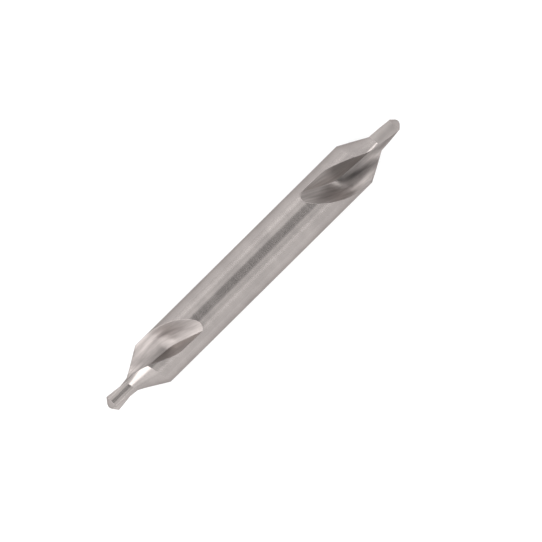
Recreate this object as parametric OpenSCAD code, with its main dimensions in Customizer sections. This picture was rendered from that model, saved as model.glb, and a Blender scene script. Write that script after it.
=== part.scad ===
// Centre drill, double-ended, with two right-hand helical flutes at each end.
// One solid bar of tool steel: plain ground shank, 60 degree countersink and short pilot drill.
// The drill lies along X with its middle at the origin. The side seen from above faces +Z.
// Angles round the axis are counted right-handed about +X, from 0 at +Z.
// A distance s along an end is counted from its point towards the middle.

/* [Shank] */
// Diameter of the ground body
shank_d = 5; // [3.5:0.05:8]
// Length from point to point
overall_l = 40; // [32:0.5:60]

/* [Pilot] */
// Diameter of the pilot drill
pilot_d = 2; // [1.2:0.05:2.6]
// Length of the pilot, from its point to where the countersink edges start
pilot_l = 2.97; // [2:0.01:4]
// Full angle of the pilot's point
point_angle = 118; // [100:1:140]

/* [Countersink] */
// Full angle that the two countersink edges sweep
countersink_angle = 60; // [50:1:90]

/* [Relief] */
// Angle at which the countersink lands fall away behind their edges
countersink_relief = 8.5; // [3:0.5:12]
// Angle at which the pilot lands fall away behind their edges
pilot_relief = 2.5; // [0.5:0.5:5]
// How far the two halves of the point are ground off centre
point_offset = 0.25; // [0.05:0.01:0.35]

/* [Flutes] */
// Advance of the flutes in one full turn
flute_lead = 35.2; // [30:0.1:60]
// Length of each flute, from the point to the end of its run-out
flute_l = 12.2; // [10:0.1:14]
// Length of the run-out, where the flute grows shallow
runout_l = 4.4; // [3:0.1:6]
// Share of the run-out that is a curve before the straight rise
runout_curve = 0.35; // [0.1:0.05:0.8]
// How far the run-out turns away from the helix by its end
runout_turn = 36; // [0:1:50]
// Thickness of the web between the two rake walls
web_t = 0.3; // [0.1:0.02:0.4]
// Distance from the axis to the root of the flute, along the rake wall
root_reach = 0.3; // [0.1:0.02:0.4]
// Angle between the rake wall and the back wall at the root
flute_angle = 128; // [110:1:140]
// Radius of the hollow in the back wall, next to the root
back_wall_r = 2.8; // [2:0.1:9]
// Angle through which the back wall curves before it runs straight to the heel
hollow_turn = 28; // [20:1:45]

/* [Clocking] */
// Angle of the first rake wall at the +X point
first_edge = 41.6; // [0:0.1:360]
// How far the flutes of the -X end are turned against those of the +X end
end_twist = 16.5; // [-90:0.5:90]

/* [Hidden] */
$fn = 144;
steel = [0.74, 0.72, 0.70];
lands = 2;

shank_r = shank_d / 2;
pilot_r = pilot_d / 2;
half_l = overall_l / 2;
web_offset = web_t / 2;
twist_rate = 360 / flute_lead;

// Countersink: a cone whose axis leans from its apex, so that each land falls away behind its edge.
// The edge turns with the flute, so the cone is steeper than the angle that its edge sweeps.
edge_slope = tan(countersink_angle / 2);
countersink_l = (shank_r - pilot_r) / edge_slope;
countersink_mid = pilot_l + countersink_l / 2;
cone_lean = atan(tan(countersink_relief) * sin(countersink_angle) / 2);
lean_slope = tan(countersink_relief) * edge_slope;
lean_at_ends = lean_slope * sin(twist_rate * countersink_l / 2);
cone_slope = (shank_r - pilot_r + sqrt(pow(shank_r - pilot_r, 2) + 4 * countersink_l
    * ((shank_r + pilot_r) * lean_at_ends + countersink_l * pow(lean_at_ends, 2))))
    / (2 * countersink_l);
cone_apex = pilot_l - pilot_r / (cone_slope + lean_at_ends);

// Pilot
pilot_offset = pilot_r * tan(pilot_relief);
point_slope = 1 / tan(point_angle / 2);

// The two ground halves of an end meet on a plane through the chisel edge,
// which ends on the rake walls just outside their roots
chisel_reach = 1.1 * root_reach;
split_angle = first_edge + atan(web_offset / chisel_reach);
split_lap = 0.01;

// Flute: stations along it and points across it
full_steps = 22;
runout_steps = 18;
rake_steps = 5;
wall_steps = 12;
past_end = 0.4;
section_reach = 1.35 * shank_r;
runout_start = flute_l - runout_l;
rise_rate = 1 / (1 - runout_curve / 2);
// Rise of the root at which the hollow back wall comes clear of the shank
wall_lean = flute_angle - 90;
full_rise = sqrt(pow(back_wall_r + shank_r, 2) - pow(web_offset + back_wall_r * sin(wall_lean), 2))
    - back_wall_r * cos(wall_lean) - root_reach;

// Share of the full rise at a distance s
function rise_share(s) =
    let (t = (s - runout_start) / runout_l)
    t <= 0 ? 0
    : t < runout_curve ? rise_rate * t * t / (2 * runout_curve)
    : rise_rate * (t - runout_curve / 2);

// Angle of the rake wall at a distance s
function rake_angle(s) = first_edge - twist_rate * s + runout_turn * rise_share(s);

// A point on the back wall, at a length w from the root, in the section's own plane
function wall_point(root, w) =
    let (
        curved = min(w, back_wall_r * hollow_turn * PI / 180),
        turned = flute_angle - curved / back_wall_r * 180 / PI
    )
    root + back_wall_r * [sin(flute_angle) - sin(turned), cos(turned) - cos(flute_angle)]
        + (w - curved) * [cos(turned), sin(turned)];

// Outline of the flute at s: in along the rake wall, out along the back wall, and round outside
function flute_section(s) =
    let (root = [root_reach + full_rise * rise_share(s), web_offset])
    concat(
        [for (i = [rake_steps:-1:1]) root + [i * section_reach / rake_steps, 0]],
        [for (i = [0:wall_steps]) wall_point(root, i * section_reach / wall_steps)],
        [root + [section_reach, section_reach]]
    );

// A section's points, turned to the rake angle and set at their place along the drill
function placed(points, s) =
    let (a = rake_angle(s))
    [for (p = points) [half_l - s, -p.x * sin(a) - p.y * cos(a), p.x * cos(a) - p.y * sin(a)]];

flute_stations = concat(
    [for (i = [0:full_steps]) -past_end + (runout_start + past_end) * i / full_steps],
    [for (i = [1:runout_steps]) runout_start + (runout_l + past_end) * i / runout_steps]
);

module along_x() rotate([0, 90, 0]) children();

module off_centre(distance, angle)
    translate([0, -distance * sin(angle), distance * cos(angle)]) children();

// One helical flute of the +X end, as the space that it takes out
module flute() {
    rings = [for (s = flute_stations) placed(flute_section(s), s)];
    count = len(rings[0]);
    last = len(rings) - 1;
    sides = [
        for (i = [0:last - 1], j = [0:count - 1])
            let (k = (j + 1) % count, a = i * count, b = a + count)
            each [[a + j, b + j, a + k], [a + k, b + j, b + k]]
    ];
    caps = [
        [for (j = [0:count - 1]) j],
        [for (j = [count - 1:-1:0]) last * count + j]
    ];
    polyhedron(points = [for (ring = rings) each ring], faces = concat(sides, caps));
}

// The countersink cone, carried on past the middle so that it covers the whole shank there
module countersink_cone()
    translate([half_l - cone_apex, 0, 0])
        rotate([rake_angle(countersink_mid) + 90, 0, 0])
            rotate([0, cone_lean, 0])
                along_x() translate([0, 0, -half_l])
                    cylinder(r1 = half_l * cone_slope, r2 = 0, h = half_l);

// The pilot, a ground cylinder under an off-centre point
module pilot() {
    back = half_l - countersink_mid;
    tip = half_l + point_offset * point_slope;
    point_r = 2 * pilot_r;
    intersection() {
        off_centre(pilot_offset, rake_angle(pilot_l / 2) + 90)
            along_x() translate([0, 0, back]) cylinder(r = pilot_r, h = countersink_mid + point_r);
        off_centre(point_offset, split_angle + 90)
            along_x() rotate_extrude()
                polygon([[0, back], [point_r, back], [point_r, tip - point_r * point_slope], [0, tip]]);
    }
}

// One relieved half of the +X end, on its own side of the split plane
module ground_half() {
    span = 2 * half_l;
    intersection() {
        union() {
            countersink_cone();
            pilot();
        }
        rotate([split_angle, 0, 0])
            translate([-half_l, -split_lap, -span])
                cube([3 * half_l, span, 2 * span]);
    }
}

module ground_end() for (i = [0:lands - 1]) rotate([i * 360 / lands, 0, 0]) ground_half();

module end_flutes() for (i = [0:lands - 1]) rotate([i * 360 / lands, 0, 0]) flute();

// Both ends: the +X end as it is, and the -X end turned round and clocked
module both_ends() {
    children();
    rotate([0, 0, 180]) rotate([end_twist, 0, 0]) children();
}

// The bar. The line where its round wall closes runs through a flute at each end.
module shank_bar()
    rotate([180 - end_twist / 2, 0, 0])
        along_x() cylinder(r = shank_r, h = 2 * overall_l, center = true);

module centre_drill() {
    color(steel)
    difference() {
        intersection() {
            shank_bar();
            both_ends() ground_end();
        }
        both_ends() end_flutes();
    }
}

centre_drill();
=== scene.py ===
"""A double-ended centre drill of bright ground tool steel, lying on a pale floor and seen from above."""

import math

import bmesh
import bpy
import numpy as np
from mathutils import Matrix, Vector


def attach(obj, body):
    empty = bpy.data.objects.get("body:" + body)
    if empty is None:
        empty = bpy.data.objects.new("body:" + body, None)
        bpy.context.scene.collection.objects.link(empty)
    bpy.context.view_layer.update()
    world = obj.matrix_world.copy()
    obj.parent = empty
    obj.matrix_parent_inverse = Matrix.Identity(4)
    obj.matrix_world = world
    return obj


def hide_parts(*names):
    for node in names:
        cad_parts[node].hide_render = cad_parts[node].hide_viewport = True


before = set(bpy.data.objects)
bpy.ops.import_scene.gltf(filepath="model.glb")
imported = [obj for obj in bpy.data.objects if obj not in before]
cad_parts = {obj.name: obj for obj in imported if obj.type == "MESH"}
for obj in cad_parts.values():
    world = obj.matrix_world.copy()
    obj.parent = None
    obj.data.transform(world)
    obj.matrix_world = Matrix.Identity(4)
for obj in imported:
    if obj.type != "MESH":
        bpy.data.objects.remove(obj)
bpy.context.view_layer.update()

# Sizes of the drill in millimetres and radians, as in the part's source.
# Angles round the axis are counted right-handed about +X, from 0 at +Z.
# A distance s along an end is counted from its point towards the middle.
MM = 0.001
SHANK_R = 2.5
HALF_L = 20.0
PILOT_R = 1.0
PILOT_L = 2.97
POINT_ANGLE = math.radians(118)
COUNTERSINK_ANGLE = math.radians(60)
COUNTERSINK_RELIEF = math.radians(8.5)
PILOT_RELIEF = math.radians(2.5)
POINT_OFFSET = 0.25
FLUTE_LEAD = 35.2
FLUTE_L = 12.2
RUNOUT_L = 4.4
RUNOUT_CURVE = 0.35
RUNOUT_TURN = math.radians(36)
WEB_OFFSET = 0.15
ROOT_REACH = 0.3
FLUTE_ANGLE = math.radians(128)
BACK_WALL_R = 2.8
HOLLOW_TURN = math.radians(28)
FIRST_EDGE = math.radians(41.6)
END_TWIST = math.radians(16.5)

# Sizes that follow from them
TWIST_RATE = 2 * math.pi / FLUTE_LEAD
RUNOUT_START = FLUTE_L - RUNOUT_L
RISE_RATE = 1 / (1 - RUNOUT_CURVE / 2)
SECTION_REACH = 1.35 * SHANK_R
WALL_LEAN = FLUTE_ANGLE - math.pi / 2
FULL_RISE = (
    math.sqrt((BACK_WALL_R + SHANK_R) ** 2 - (WEB_OFFSET + BACK_WALL_R * math.sin(WALL_LEAN)) ** 2)
    - BACK_WALL_R * math.cos(WALL_LEAN)
    - ROOT_REACH
)
EDGE_SLOPE = math.tan(COUNTERSINK_ANGLE / 2)
COUNTERSINK_L = (SHANK_R - PILOT_R) / EDGE_SLOPE
COUNTERSINK_MID = PILOT_L + COUNTERSINK_L / 2
CONE_LEAN = math.atan(math.tan(COUNTERSINK_RELIEF) * math.sin(COUNTERSINK_ANGLE) / 2)
LEAN_AT_ENDS = math.tan(COUNTERSINK_RELIEF) * EDGE_SLOPE * math.sin(TWIST_RATE * COUNTERSINK_L / 2)
CONE_SLOPE = (
    SHANK_R
    - PILOT_R
    + math.sqrt(
        (SHANK_R - PILOT_R) ** 2
        + 4 * COUNTERSINK_L * ((SHANK_R + PILOT_R) * LEAN_AT_ENDS + COUNTERSINK_L * LEAN_AT_ENDS**2)
    )
) / (2 * COUNTERSINK_L)
CONE_APEX = PILOT_L - PILOT_R / (CONE_SLOPE + LEAN_AT_ENDS)
PILOT_OFFSET = PILOT_R * math.tan(PILOT_RELIEF)
POINT_SLOPE = 1 / math.tan(POINT_ANGLE / 2)
CHISEL_REACH = 1.1 * ROOT_REACH
SPLIT_ANGLE = FIRST_EDGE + math.atan(WEB_OFFSET / CHISEL_REACH)
POINT_TOWARDS = SPLIT_ANGLE + math.pi / 2

# How finely each patch of the surface is divided
LAND_STEPS = 40
RAKE_STEPS = 14
CHISEL_STEPS = 2
WALL_STEPS = 22
PILOT_ROWS = 20
CONE_ROWS = 22
FLUTE_ROWS = 48
CLOSING_ROWS = 20
SHANK_ROWS = 40
POINT_ROWS = 6

# Steps of a search, and the distances s between which each line across a land is looked for
SOLVE_STEPS = 36
RIM_RANGE = (0.0, 2.0)
NECK_RANGE = (1.0, 5.0)
TOP_RANGE = (3.0, 9.0)

# Distances within which points are welded and slivers are removed
WELD_DISTANCE = 1e-4
SLIVER_LENGTH = 1e-5

# Signs of X, Y and Z that leave a land in place, or give it half a turn about the drill's axis
IN_PLACE = np.array([1.0, 1.0, 1.0])
HALF_TURN = np.array([1.0, -1.0, -1.0])
LAND_TURNS = (IN_PLACE, HALF_TURN)

# Patch numbers: an edge between two patches is a sharp one
GROUND, CONE, PILOT, POINT, RAKE, WALL = range(6)

# Materials by their place in the mesh's list: the pilot at the +X end is duller than the one at -X
GROUND_SLOT, RAKE_SLOT, WALL_SLOT, WORN_SLOT = range(4)
FLUTE_SLOTS = {RAKE: RAKE_SLOT, WALL: WALL_SLOT}

# Texture coordinates: distances along and across each patch.
# Those of the -X end start further along, so that the marks in its flutes differ.
UV_NAME = "along_across"
FAR_END_SHIFT = FLUTE_LEAD


def rise_share(s):
    """Share of the full rise of the flute's root at a distance s."""
    t = (s - RUNOUT_START) / RUNOUT_L
    curved = RISE_RATE * t * t / (2 * RUNOUT_CURVE)
    straight = RISE_RATE * (t - RUNOUT_CURVE / 2)
    return np.where(t <= 0, 0.0, np.where(t < RUNOUT_CURVE, curved, straight))


def rake_angle(s):
    """Angle of the rake wall at a distance s."""
    return FIRST_EDGE - TWIST_RATE * s + RUNOUT_TURN * rise_share(s)


# Angles towards which the cone leans and the pilot lies off centre
CONE_TOWARDS = float(rake_angle(COUNTERSINK_MID)) + math.pi / 2
PILOT_TOWARDS = float(rake_angle(PILOT_L / 2)) + math.pi / 2


def cone_radius(angle, s):
    """Radius of the leaning countersink cone of the first land."""
    k = 1 + CONE_SLOPE**2
    along = math.cos(CONE_LEAN)
    across = math.sin(CONE_LEAN) * np.cos(angle - CONE_TOWARDS)
    rest = 1 - k * across**2
    growth = (k * along * across + np.sqrt((k * along * across) ** 2 + rest * (k * along**2 - 1))) / rest
    return np.maximum(s - CONE_APEX, 0) * growth


def round_radius(angle, r, offset, towards):
    """Distance from the axis to a circle of radius r that lies off centre."""
    turn = angle - towards
    return offset * np.cos(turn) + np.sqrt(np.maximum(r**2 - (offset * np.sin(turn)) ** 2, 0))


def pilot_radius(angle):
    return round_radius(angle, PILOT_R, PILOT_OFFSET, PILOT_TOWARDS)


def point_radius(angle, s):
    return round_radius(angle, s / POINT_SLOPE + POINT_OFFSET, POINT_OFFSET, POINT_TOWARDS)


def land_radius(angle, s):
    return np.minimum(SHANK_R, np.maximum(cone_radius(angle, s), pilot_radius(angle)))


def bisect(below, low, high):
    """Where below(x) turns from true to false between low and high, for numbers or arrays."""
    for _ in range(SOLVE_STEPS):
        mid = (low + high) / 2
        under = below(mid)
        low = np.where(under, mid, low)
        high = np.where(under, high, mid)
    return (low + high) / 2


def root_reach(s):
    """Distance from the axis to the root of the flute, along the rake wall."""
    return ROOT_REACH + FULL_RISE * rise_share(s)


def has_rake_wall(s):
    """Whether the root of the flute is still inside the shank."""
    return np.hypot(root_reach(s), WEB_OFFSET) < SHANK_R


# Distance s at which the root comes out of the shank
CREASE_END = float(bisect(has_rake_wall, RUNOUT_START, FLUTE_L))


def wall_point(s, w):
    """A point of the back wall at a length w from the root, in the section's own plane."""
    curved = np.minimum(w, BACK_WALL_R * HOLLOW_TURN)
    straight = w - curved
    turned = FLUTE_ANGLE - curved / BACK_WALL_R
    u = root_reach(s) + BACK_WALL_R * (math.sin(FLUTE_ANGLE) - np.sin(turned)) + straight * np.cos(turned)
    v = WEB_OFFSET + BACK_WALL_R * (np.cos(turned) - math.cos(FLUTE_ANGLE)) + straight * np.sin(turned)
    return u, v


def polar(s, u, v):
    """Angle and radius of a point of the section's own plane."""
    return rake_angle(s) + np.arctan2(v, u), np.hypot(u, v)


def wall_nearest(s):
    """Length along the back wall where it comes nearest to the axis."""
    centre_u = root_reach(s) + BACK_WALL_R * math.sin(FLUTE_ANGLE)
    centre_v = WEB_OFFSET - BACK_WALL_R * math.cos(FLUTE_ANGLE)
    return np.maximum((FLUTE_ANGLE - np.arctan2(centre_u, -centre_v)) * BACK_WALL_R, 0)


def wall_start(s):
    """Length along the back wall where it starts: at the root, or where it comes in through the shank."""

    def outside(w):
        return np.hypot(*wall_point(s, w)) > SHANK_R

    return bisect(outside, np.zeros_like(s), wall_nearest(s))


def wall_end(s):
    """Length along the back wall at the heel of the next land."""

    def inside(w):
        angle, r = polar(s, *wall_point(s, w))
        return r < land_radius(angle - math.pi, s)

    return bisect(inside, wall_nearest(s), np.full_like(s, SECTION_REACH))


def wall_length(s, q):
    """Length along the back wall, from its start at q = 0 to the heel at q = 1."""
    start = wall_start(s)
    return start + (wall_end(s) - start) * q


def back_point(s, q):
    """A point of the back wall, from its start at q = 0 to the heel at q = 1."""
    return wall_point(s, wall_length(s, q))


def edge_reach(s):
    """Reach of the rake wall, from the axis to its edge."""
    r = np.full_like(s, SHANK_R)
    for _ in range(SOLVE_STEPS):
        r = land_radius(rake_angle(s) + np.arcsin(WEB_OFFSET / r), s)
    return np.sqrt(r**2 - WEB_OFFSET**2)


def rake_point(s, g):
    """A point of the rake wall, from its root at g = 0 to its edge at g = 1."""
    start_u, start_v = wall_point(s, wall_start(s))
    u = root_reach(s) + (edge_reach(s) - root_reach(s)) * g
    has_wall = has_rake_wall(s)
    return np.where(has_wall, u, start_u), np.where(has_wall, WEB_OFFSET, start_v)


def land_angle(s, p):
    """Angle across the first land, from its heel at p = 0 to its edge at p = 1."""
    edge, _ = polar(s, *rake_point(s, np.ones_like(s)))
    other_heel, _ = polar(s, *back_point(s, np.ones_like(s)))
    heel = other_heel - math.pi
    return heel + (edge - heel) * p


def land_key(below, p, limits):
    """Distance s at which each column of the land crosses from one surface to the next."""
    low, high = limits
    return bisect(lambda s: below(land_angle(s, p), s), np.full_like(p, low), np.full_like(p, high))


def tip_key(wall, shares):
    """Distance s at which each column of a flute's wall starts under the point."""

    def outside(s):
        angle, r = polar(s, *wall(s, shares))
        own = np.where(angle < SPLIT_ANGLE, angle, angle - math.pi)
        return point_radius(own, s) < r

    low, high = RIM_RANGE
    return bisect(outside, np.full_like(shares, low), np.full_like(shares, high))


def rows_between(keys, counts):
    """Rows of s from key to key for every column, closing in on the last key."""
    rows = [keys[0][None, :]]
    last = len(counts) - 1
    for i, count in enumerate(counts):
        t = np.arange(1, count + 1)[:, None] / count
        if i == last:
            t = 1 - (1 - t) ** 2
        rows.append(keys[i] + (keys[i + 1] - keys[i]) * t)
    return np.vstack(rows)


def column_rows(tip, neck, top):
    """Rows of s for every column, by way of the countersink's neck and top to the end of the flute."""
    full = np.ones_like(tip)
    keys = (tip, neck, top, full * CREASE_END, full * FLUTE_L)
    return rows_between(keys, (PILOT_ROWS, CONE_ROWS, FLUTE_ROWS, CLOSING_ROWS))


def placed(s, angle, r):
    return np.stack([HALF_L - s, -r * np.sin(angle), r * np.cos(angle)], axis=-1)


def angle_of(points):
    """Angle of points round the axis."""
    return np.arctan2(-points[..., 1], points[..., 2])


def other_end(points):
    """The same shape at the -X end, clocked and turned round."""
    cosine = math.cos(END_TWIST)
    sine = math.sin(END_TWIST)
    x, y, z = points[..., 0], points[..., 1], points[..., 2]
    return np.stack([-x, -(cosine * y - sine * z), sine * y + cosine * z], axis=-1)


def rake_shares():
    """Columns of the rake wall, of which one starts at the end of the chisel edge."""

    def before_split(g):
        s = tip_key(rake_point, g)
        angle, _ = polar(s, *rake_point(s, g))
        return angle > SPLIT_ANGLE

    chisel_g = float(bisect(before_split, np.zeros(1), np.ones(1))[0])
    before = np.linspace(0, chisel_g, CHISEL_STEPS + 1)
    after = np.linspace(chisel_g, 1, RAKE_STEPS + 1)
    return np.concatenate([before, after[1:]])


def point_grid(land_rim, rake_rim, wall_rim):
    """Points of one half of the point, from its outline to the chisel edge."""
    outline = np.vstack(
        [
            rake_rim[CHISEL_STEPS:],
            land_rim[::-1][1:],
            wall_rim[::-1][1:] * HALF_TURN,
            rake_rim[1 : CHISEL_STEPS + 1] * HALF_TURN,
        ]
    )
    share = np.linspace(0, 1, len(outline))[:, None]
    chisel = outline[0] + (outline[-1] - outline[0]) * share
    depth = np.linspace(0, 1, POINT_ROWS + 1)[:, None, None]
    point = outline + (chisel - outline) * depth
    middle_y = -POINT_OFFSET * math.sin(POINT_TOWARDS)
    middle_z = POINT_OFFSET * math.cos(POINT_TOWARDS)
    from_middle = np.hypot(point[..., 1] - middle_y, point[..., 2] - middle_z)
    point[..., 0] = HALF_L - (from_middle - POINT_OFFSET) * POINT_SLOPE
    return point


def end_patches():
    """Patches of one half of the +X end, and the closing line of its land.

    Each patch has its number, its points, and the distances along and across it in millimetres.
    """
    # Land
    land_p = np.linspace(0, 1, LAND_STEPS + 1)
    rim = land_key(lambda a, s: point_radius(a, s) < pilot_radius(a), land_p, RIM_RANGE)
    neck = land_key(lambda a, s: cone_radius(a, s) < pilot_radius(a), land_p, NECK_RANGE)
    top = land_key(lambda a, s: cone_radius(a, s) < SHANK_R, land_p, TOP_RANGE)
    land_s = column_rows(rim, neck, top)
    land_a = np.stack([land_angle(row, land_p) for row in land_s])
    land = placed(land_s, land_a, land_radius(land_a, land_s))
    land_across = land_a * SHANK_R

    # Rake wall, whose last column is the land's edge
    rake_g = rake_shares()
    rake_tip = tip_key(rake_point, rake_g)
    rake_tip[-1] = rim[-1]
    full = np.ones_like(rake_g)
    rake_s = column_rows(rake_tip, full * neck[-1], full * top[-1])
    rake = np.stack([placed(row, *polar(row, *rake_point(row, rake_g))) for row in rake_s])
    rake_across = np.broadcast_to(-rake_g * SHANK_R, rake_s.shape)

    # Back wall, from the rake wall's root to the other land's heel
    wall_q = np.linspace(0, 1, WALL_STEPS + 1)
    wall_tip = tip_key(back_point, wall_q)
    wall_tip[0] = rake_tip[0]
    wall_tip[-1] = rim[0]
    wall_neck = neck[-1] + (neck[0] - neck[-1]) * wall_q
    wall_top = top[-1] + (top[0] - top[-1]) * wall_q
    wall_s = column_rows(wall_tip, wall_neck, wall_top)
    wall = np.stack([placed(row, *polar(row, *back_point(row, wall_q))) for row in wall_s])
    wall_across = np.stack([wall_length(row, wall_q) for row in wall_s])

    point = point_grid(land[0], rake[0], wall[0])

    pilot_rows = slice(PILOT_ROWS + 1)
    cone_rows = slice(PILOT_ROWS, PILOT_ROWS + CONE_ROWS + 1)
    shank_rows = slice(PILOT_ROWS + CONE_ROWS, None)
    land_parts = ((PILOT, pilot_rows), (CONE, cone_rows), (GROUND, shank_rows))
    patches = [(number, land[rows], land_s[rows], land_across[rows]) for number, rows in land_parts]
    patches.append((RAKE, rake, rake_s, rake_across))
    patches.append((WALL, wall, wall_s, wall_across))
    patches.append((POINT, point, point[..., 1], point[..., 2]))
    return patches, land[-1]


def plain_shank(first, second):
    """Patch of half of the shank's wall, between the closing lines of the two ends."""
    start = np.unwrap(angle_of(first))
    stop = np.unwrap(angle_of(second))
    stop += 2 * math.pi * np.round((start[0] - stop[0]) / (2 * math.pi))
    t = np.linspace(0, 1, SHANK_ROWS + 1)[:, None]
    angle = start + (stop - start) * t
    x = first[:, 0] + (second[:, 0] - first[:, 0]) * t
    s = HALF_L - x
    return GROUND, placed(s, angle, SHANK_R), s, angle * SHANK_R


def middle(line):
    """Y and Z half-way along a line of points."""
    return line[len(line) // 2, 1:]


def drill_patches():
    """Patches of the whole drill: both halves of both ends, and the shank between them."""
    half, closing = end_patches()
    patches = []
    for turn in LAND_TURNS:
        for number, points, along, across in half:
            patches.append((number, points * turn, along, across))
            patches.append((number, other_end(points * turn), along + FAR_END_SHIFT, across))
    far_lines = [other_end(closing * turn)[::-1] for turn in LAND_TURNS]
    for turn in LAND_TURNS:
        near = closing * turn
        far = min(far_lines, key=lambda line: np.linalg.norm(middle(line) - middle(near)))
        patches.append(plain_shank(near, far))
    return patches


def drill_mesh():
    """One closed mesh of the whole drill, welded from its patches."""
    bm = bmesh.new()
    number_layer = bm.faces.layers.int.new("patch")
    uv_layer = bm.loops.layers.uv.new(UV_NAME)
    for number, points, along, across in drill_patches():
        rows, columns = points.shape[:2]
        verts = [[bm.verts.new(points[i, j]) for j in range(columns)] for i in range(rows)]
        for i in range(rows - 1):
            for j in range(columns - 1):
                corners = ((i, j), (i, j + 1), (i + 1, j + 1), (i + 1, j))
                face = bm.faces.new([verts[row][column] for row, column in corners])
                face[number_layer] = number
                for loop, corner in zip(face.loops, corners):
                    loop[uv_layer].uv = along[corner], across[corner]
    bmesh.ops.remove_doubles(bm, verts=bm.verts, dist=WELD_DISTANCE)
    bmesh.ops.dissolve_degenerate(bm, edges=bm.edges, dist=SLIVER_LENGTH)
    bmesh.ops.recalc_face_normals(bm, faces=bm.faces)
    for face in bm.faces:
        face.smooth = True
        number = face[number_layer]
        worn = number == PILOT and face.calc_center_median().x > 0
        face.material_index = WORN_SLOT if worn else FLUTE_SLOTS.get(number, GROUND_SLOT)
    for edge in bm.edges:
        numbers = {face[number_layer] for face in edge.link_faces}
        edge.smooth = len(numbers) == 1
    bmesh.ops.scale(bm, vec=(MM, MM, MM), verts=bm.verts)
    mesh = bpy.data.meshes.new("centre_drill_body")
    bm.to_mesh(mesh)
    bm.free()
    return mesh


# Share of the light, by colour, that the steel keeps near a glancing angle
RIM_TINT = (0.58, 0.56, 0.55, 1)

# Range that holds most of a noise's values
NOISE_LOW = 0.3
NOISE_HIGH = 0.7

# Ways in which highlights are stretched, as shares of a full turn from the first texture axis
ALONG = 0.0
ACROSS = 0.25


class Steel:
    """Bare steel whose colour, roughness and grinding marks come from noise."""

    def __init__(self, name):
        self.material = bpy.data.materials.new(name)
        self.material.use_nodes = True
        self.nodes = self.material.node_tree.nodes
        self.links = self.material.node_tree.links
        self.shader = self.nodes["Principled BSDF"]
        self.shader.inputs["Metallic"].default_value = 1.0
        self.shader.inputs["Specular Tint"].default_value = RIM_TINT

    def noise(self, coordinates, stretch, detail):
        """Noise from 0 to 1 over coordinates that are stretched first."""
        mapping = self.nodes.new("ShaderNodeMapping")
        mapping.inputs["Scale"].default_value = stretch
        self.links.new(coordinates, mapping.inputs["Vector"])
        noise = self.nodes.new("ShaderNodeTexNoise")
        noise.inputs["Scale"].default_value = 1.0
        noise.inputs["Detail"].default_value = detail
        self.links.new(mapping.outputs["Vector"], noise.inputs["Vector"])
        return noise.outputs["Fac"]

    def spread(self, value, low, high):
        """The middle of a noise's range, spread from low to high."""
        node = self.nodes.new("ShaderNodeMapRange")
        node.inputs["From Min"].default_value = NOISE_LOW
        node.inputs["From Max"].default_value = NOISE_HIGH
        node.inputs["To Min"].default_value = low
        node.inputs["To Max"].default_value = high
        self.links.new(value, node.inputs["Value"])
        return node.outputs["Result"]

    def colour(self, value, dark, light):
        mix = self.nodes.new("ShaderNodeMix")
        mix.data_type = "RGBA"
        self.links.new(self.spread(value, 0.0, 1.0), mix.inputs["Factor"])
        mix.inputs["A"].default_value = (*dark, 1)
        mix.inputs["B"].default_value = (*light, 1)
        self.links.new(mix.outputs["Result"], self.shader.inputs["Base Color"])

    def roughness(self, value, low, high):
        self.links.new(self.spread(value, low, high), self.shader.inputs["Roughness"])

    def brush(self, amount, turn):
        """Stretch the highlights along or across the first texture axis."""
        tangent = self.nodes.new("ShaderNodeTangent")
        tangent.direction_type = "UV_MAP"
        tangent.uv_map = UV_NAME
        self.links.new(tangent.outputs["Tangent"], self.shader.inputs["Tangent"])
        self.shader.inputs["Anisotropic"].default_value = amount
        self.shader.inputs["Anisotropic Rotation"].default_value = turn

    def bump(self, value, depth, edge_radius):
        """Marks of a depth, on edges that are broken by a small radius, both in millimetres."""
        edge = self.nodes.new("ShaderNodeBevel")
        edge.inputs["Radius"].default_value = edge_radius * MM
        bump = self.nodes.new("ShaderNodeBump")
        bump.inputs["Distance"].default_value = depth * MM
        self.links.new(value, bump.inputs["Height"])
        self.links.new(edge.outputs["Normal"], bump.inputs["Normal"])
        self.links.new(bump.outputs["Normal"], self.shader.inputs["Normal"])


def ground_steel(name, smooth, rough, turn):
    """Cylindrical grinding: fine marks round the axis, on object coordinates in metres."""
    steel = Steel(name)
    place = steel.nodes.new("ShaderNodeTexCoord").outputs["Object"]
    marks = steel.noise(place, stretch=(16000, 700, 700), detail=3.0)
    stains = steel.noise(place, stretch=(500, 350, 350), detail=2.0)
    steel.colour(stains, dark=(0.33, 0.302, 0.292), light=(0.395, 0.362, 0.348))
    steel.roughness(marks, low=smooth, high=rough)
    steel.brush(amount=0.6, turn=turn)
    steel.bump(marks, depth=0.0012, edge_radius=0.03)
    return steel.material


def flute_steel(name, dark, light, edge_radius):
    """Flute grinding: coarser marks along the flute, on the texture coordinates in millimetres."""
    steel = Steel(name)
    uv_map = steel.nodes.new("ShaderNodeUVMap")
    uv_map.uv_map = UV_NAME
    place = uv_map.outputs["UV"]
    marks = steel.noise(place, stretch=(0.35, 4.5, 1), detail=4.0)
    streaks = steel.noise(place, stretch=(0.4, 2.6, 1), detail=3.0)
    steel.colour(streaks, dark, light)
    steel.roughness(marks, low=0.29, high=0.39)
    steel.brush(amount=0.5, turn=ACROSS)
    steel.bump(marks, depth=0.014, edge_radius=edge_radius)
    return steel.material


# Drill, with its materials in the order of their slots
drill = bpy.data.objects.new("drill_body", drill_mesh())
bpy.context.collection.objects.link(drill)
for material in (
    ground_steel("ground_steel", smooth=0.18, rough=0.25, turn=ALONG),
    flute_steel("rake_steel", dark=(0.33, 0.30, 0.29), light=(0.45, 0.415, 0.40), edge_radius=0.02),
    # The back wall's darker colours are painted shade of the flute's hollow, on top of the steel's own
    # streaks.
    flute_steel("back_wall_steel_painted_shade", dark=(0.19, 0.172, 0.165), light=(0.31, 0.282, 0.271), edge_radius=0.14),
    ground_steel("worn_pilot_steel", smooth=0.42, rough=0.5, turn=ACROSS),
):
    drill.data.materials.append(material)
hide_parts("centre_drill")
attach(drill, "root")

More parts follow.
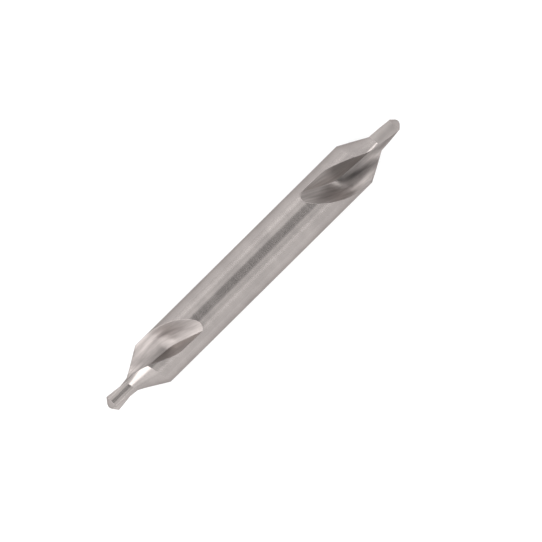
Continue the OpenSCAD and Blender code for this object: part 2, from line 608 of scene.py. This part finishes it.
# Floor, with its size in millimetres
FLOOR_SIZE = 1200
FLOOR_COLOUR = (0.3, 0.3, 0.3, 1)
FLOOR_ROUGHNESS = 0.9
FLOOR_GLOW = 0.72
WHITE = (1, 1, 1, 1)


def floor_paint():
    """Matt paint that glows white, as a light table does."""
    paint = bpy.data.materials.new("floor_paint")
    paint.use_nodes = True
    shader = paint.node_tree.nodes["Principled BSDF"]
    shader.inputs["Base Color"].default_value = FLOOR_COLOUR
    shader.inputs["Roughness"].default_value = FLOOR_ROUGHNESS
    shader.inputs["Emission Color"].default_value = WHITE
    shader.inputs["Emission Strength"].default_value = FLOOR_GLOW
    return paint


bpy.ops.mesh.primitive_plane_add(size=FLOOR_SIZE * MM, location=(0, 0, -SHANK_R * MM))
floor = bpy.context.object
floor.name = "floor"
floor.data.materials.append(floor_paint())


def sky_direction(x_angle, y_angle):
    """Unit vector that leans from straight up by two angles in degrees, towards +X and towards +Y."""
    away = math.radians(math.hypot(x_angle, y_angle))
    heading = math.atan2(y_angle, x_angle)
    return Vector((math.sin(away) * math.cos(heading), math.sin(away) * math.sin(heading), math.cos(away)))


class Sky:
    """A soft studio sky: an even light with patches and strips that are brighter or darker."""

    def __init__(self, level):
        self.world = bpy.data.worlds.new("studio")
        self.world.use_nodes = True
        self.nodes = self.world.node_tree.nodes
        self.links = self.world.node_tree.links
        self.towards = self.nodes.new("ShaderNodeTexCoord").outputs["Generated"]
        self.level = level

    def combine(self, operation, first, second):
        """Output of a math node on two values, each a number or another node's output."""
        node = self.nodes.new("ShaderNodeMath")
        node.operation = operation
        for socket, value in zip(node.inputs, (first, second)):
            if isinstance(value, float):
                socket.default_value = value
            else:
                self.links.new(value, socket)
        return node.outputs["Value"]

    def along(self, direction):
        """Cosine of the angle to one direction."""
        node = self.nodes.new("ShaderNodeVectorMath")
        node.operation = "DOT_PRODUCT"
        self.links.new(self.towards, node.inputs[0])
        node.inputs[1].default_value = direction
        return node.outputs["Value"]

    def within(self, direction, angle, softness):
        """1 inside an angle in degrees from a direction, 0 outside, with a soft rim."""
        node = self.nodes.new("ShaderNodeMapRange")
        node.interpolation_type = "SMOOTHSTEP"
        self.links.new(self.along(direction), node.inputs["Value"])
        node.inputs["From Min"].default_value = math.cos(math.radians(angle + softness / 2))
        node.inputs["From Max"].default_value = math.cos(math.radians(angle - softness / 2))
        return node.outputs["Result"]

    def add(self, shape, gain):
        self.level = self.combine("ADD", self.combine("MULTIPLY", shape, gain), self.level)

    def patch(self, centre, radius, softness, gain):
        """Add light round one direction, or take it away."""
        self.add(self.within(sky_direction(*centre), radius, softness), gain)

    def strip(self, start, stop, width, softness, gain):
        """Add light in a straight strip from one direction to another, or take it away."""
        first = sky_direction(*start)
        last = sky_direction(*stop)
        side = first.cross(last).normalized()
        length = math.degrees(first.angle(last))
        left = self.within(side, 90 + width / 2, softness)
        right = self.within(-side, 90 + width / 2, softness)
        inside = self.within((first + last).normalized(), length / 2, softness)
        self.add(self.combine("MULTIPLY", self.combine("MULTIPLY", left, right), inside), gain)

    def finish(self):
        background = self.nodes["Background"]
        background.inputs["Color"].default_value = WHITE
        self.links.new(self.level, background.inputs["Strength"])
        return self.world


# Light: an open white studio, with angles in degrees from straight up, towards +X and towards +Y
sky = Sky(level=1.2)
# Darker overhead, where the camera stands, and beside it towards +X and -Y
sky.patch((12, 8.5), radius=23.2, softness=5, gain=-0.8)
sky.patch((36, 8), radius=26, softness=18, gain=-0.37)
sky.patch((15, -28), radius=12, softness=8, gain=-0.55)
# Lamps towards -X, of which the first is mirrored by the countersink at that end
sky.patch((-59, -6), radius=14, softness=6, gain=2.1)
sky.patch((-44, -27), radius=7, softness=6, gain=1.8)
sky.patch((-35, -22), radius=11, softness=10, gain=1.6)
sky.patch((-34, 8), radius=20, softness=24, gain=1.6)
sky.patch((-76, -40), radius=10, softness=8, gain=1.2)
# Lamps towards +Y, -Y and +X, of which the last is mirrored by the countersink at the +X end
sky.patch((-28, 67), radius=10, softness=8, gain=4.5)
sky.patch((20, -46), radius=7, softness=5, gain=4.0)
sky.patch((62, 8), radius=5, softness=4, gain=3.0)
# A strip lamp that runs from +X towards +Y
sky.strip((31, 0), (38, 58), width=6, softness=3, gain=5.2)
# A thin dark line and a light band, mirrored along the shank
sky.strip((-40, 42), (40, 42), width=2, softness=1.5, gain=-0.4)
sky.strip((-40, 56), (40, 56), width=7, softness=5, gain=0.15)
bpy.context.scene.world = sky.finish()
bpy.context.scene.view_settings.view_transform = "Standard"

# Camera, straight above, with the drill's axis rising to the upper right; distances in millimetres
AXIS_TILT = math.radians(44.70)
PIXELS_PER_MM = 10.175
IMAGE_PIXELS = 542
DRILL_LEFT_OF_MIDDLE = 17.39 / PIXELS_PER_MM
DRILL_ABOVE_MIDDLE = 6.90 / PIXELS_PER_MM
CAMERA_HEIGHT = 300
right = np.array([math.cos(AXIS_TILT), -math.sin(AXIS_TILT), 0])
up = np.array([math.sin(AXIS_TILT), math.cos(AXIS_TILT), 0])
overhead = np.array([0, 0, CAMERA_HEIGHT])
camera_data = bpy.data.cameras.new("camera")
camera_data.type = "ORTHO"
camera_data.ortho_scale = IMAGE_PIXELS / PIXELS_PER_MM * MM
camera = bpy.data.objects.new("camera", camera_data)
camera.location = (right * DRILL_LEFT_OF_MIDDLE - up * DRILL_ABOVE_MIDDLE + overhead) * MM
camera.rotation_euler = (0, 0, -AXIS_TILT)
bpy.context.collection.objects.link(camera)
bpy.context.scene.camera = camera
